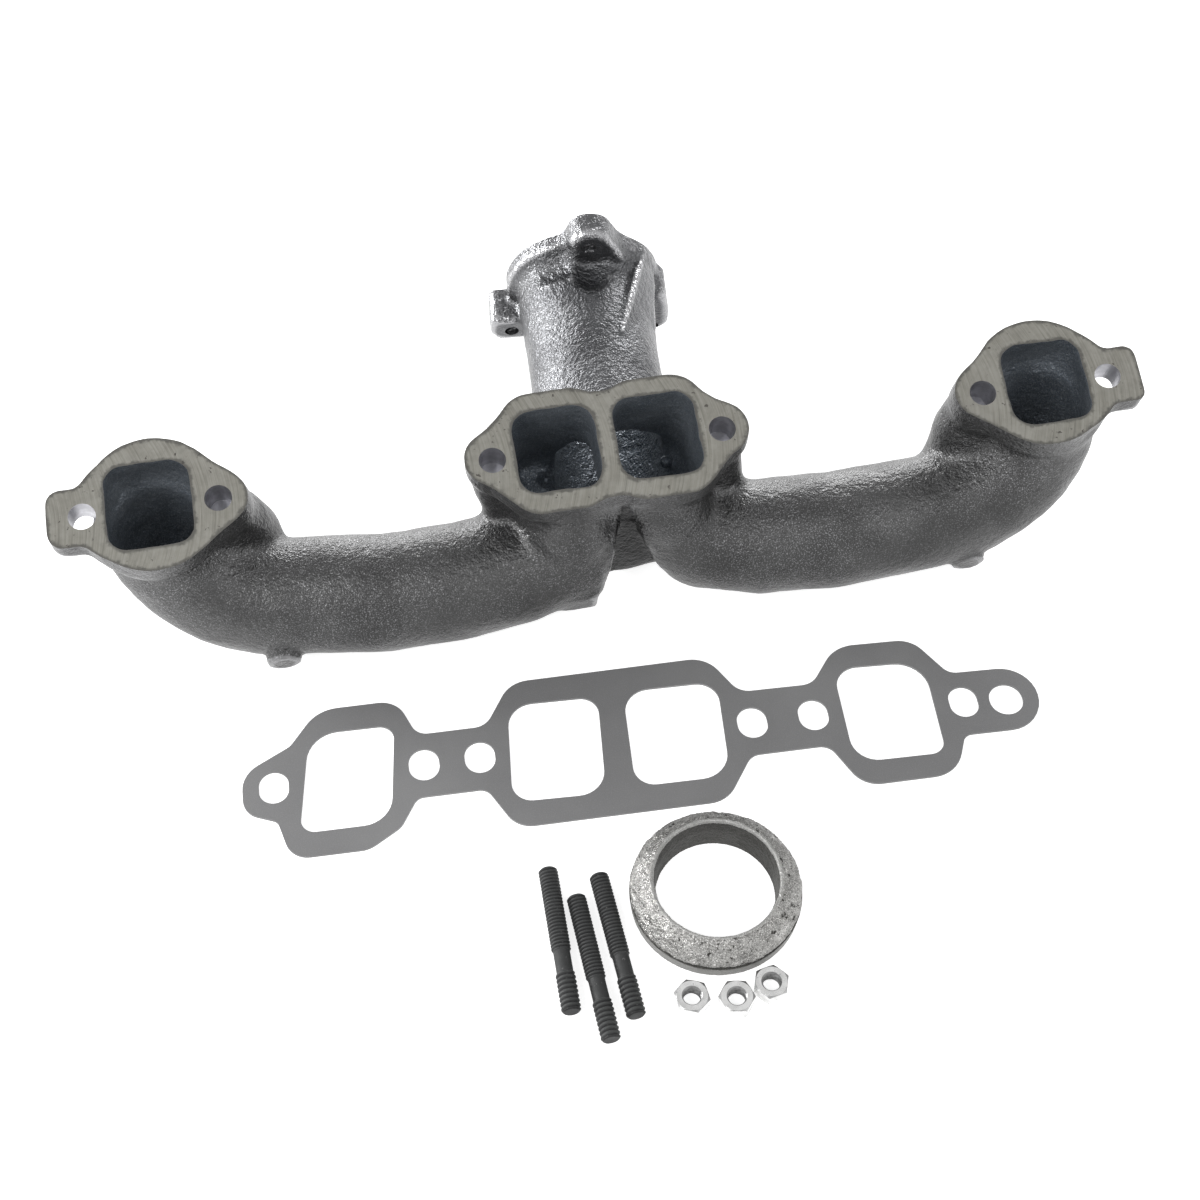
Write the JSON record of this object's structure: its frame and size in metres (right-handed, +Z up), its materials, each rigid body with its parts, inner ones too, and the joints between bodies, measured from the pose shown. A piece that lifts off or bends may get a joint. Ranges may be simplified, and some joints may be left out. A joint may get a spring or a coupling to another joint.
{
  "type": "exhaust manifold kit",
  "caption": "Log-style cast exhaust manifold with square ports and a flanged round outlet, laid out with its port gasket, ring gasket, studs and nuts.",
  "frame": {"origin": "middle of the kit's footprint, on the floor that it lies on", "axes": "+X along the row of ports, +Y towards the casting's outlet, +Z up from the floor; the loose pieces lie on the -Y side"},
  "size_m": [0.465, 0.3818, 0.097],
  "materials": {
    "cast_iron": "raw sand-cast skin with milled port faces and outlet face",
    "gasket_sheet": "smooth matt grey faced sheet",
    "ring_gasket_mesh": "pressed wire mesh and graphite, pitted",
    "black_stud": "black oxide, matt",
    "zinc_nut": "bright zinc plate"
  },
  "bodies": {
    "casting": {"manifold_casting": "cast_iron"},
    "port_gasket_loose": {"port_gasket": "gasket_sheet"},
    "outlet_ring_gasket_loose": {"outlet_ring_gasket": "ring_gasket_mesh"},
    "stud_1_loose": {"stud_1": "black_stud"},
    "stud_2_loose": {"stud_2": "black_stud"},
    "stud_3_loose": {"stud_3": "black_stud"},
    "nut_1_loose": {"nut_1": "zinc_nut"},
    "nut_2_loose": {"nut_2": "zinc_nut"},
    "nut_3_loose": {"nut_3": "zinc_nut"}
  },
  "joints": [
    {"name": "port_gasket_lift", "type": "slide", "parent": "casting", "child": "port_gasket_loose", "axis": [0, 0, 1], "range_m": [0, 0.15]},
    {"name": "outlet_ring_gasket_lift", "type": "slide", "parent": "casting", "child": "outlet_ring_gasket_loose", "axis": [0, 0, 1], "range_m": [0, 0.15]},
    {"name": "stud_1_lift", "type": "slide", "parent": "casting", "child": "stud_1_loose", "axis": [0, 0, 1], "range_m": [0, 0.15]},
    {"name": "stud_2_lift", "type": "slide", "parent": "casting", "child": "stud_2_loose", "axis": [0, 0, 1], "range_m": [0, 0.15]},
    {"name": "stud_3_lift", "type": "slide", "parent": "casting", "child": "stud_3_loose", "axis": [0, 0, 1], "range_m": [0, 0.15]},
    {"name": "nut_1_lift", "type": "slide", "parent": "casting", "child": "nut_1_loose", "axis": [0, 0, 1], "range_m": [0, 0.15]},
    {"name": "nut_2_lift", "type": "slide", "parent": "casting", "child": "nut_2_loose", "axis": [0, 0, 1], "range_m": [0, 0.15]},
    {"name": "nut_3_lift", "type": "slide", "parent": "casting", "child": "nut_3_loose", "axis": [0, 0, 1], "range_m": [0, 0.15]}
  ]
}
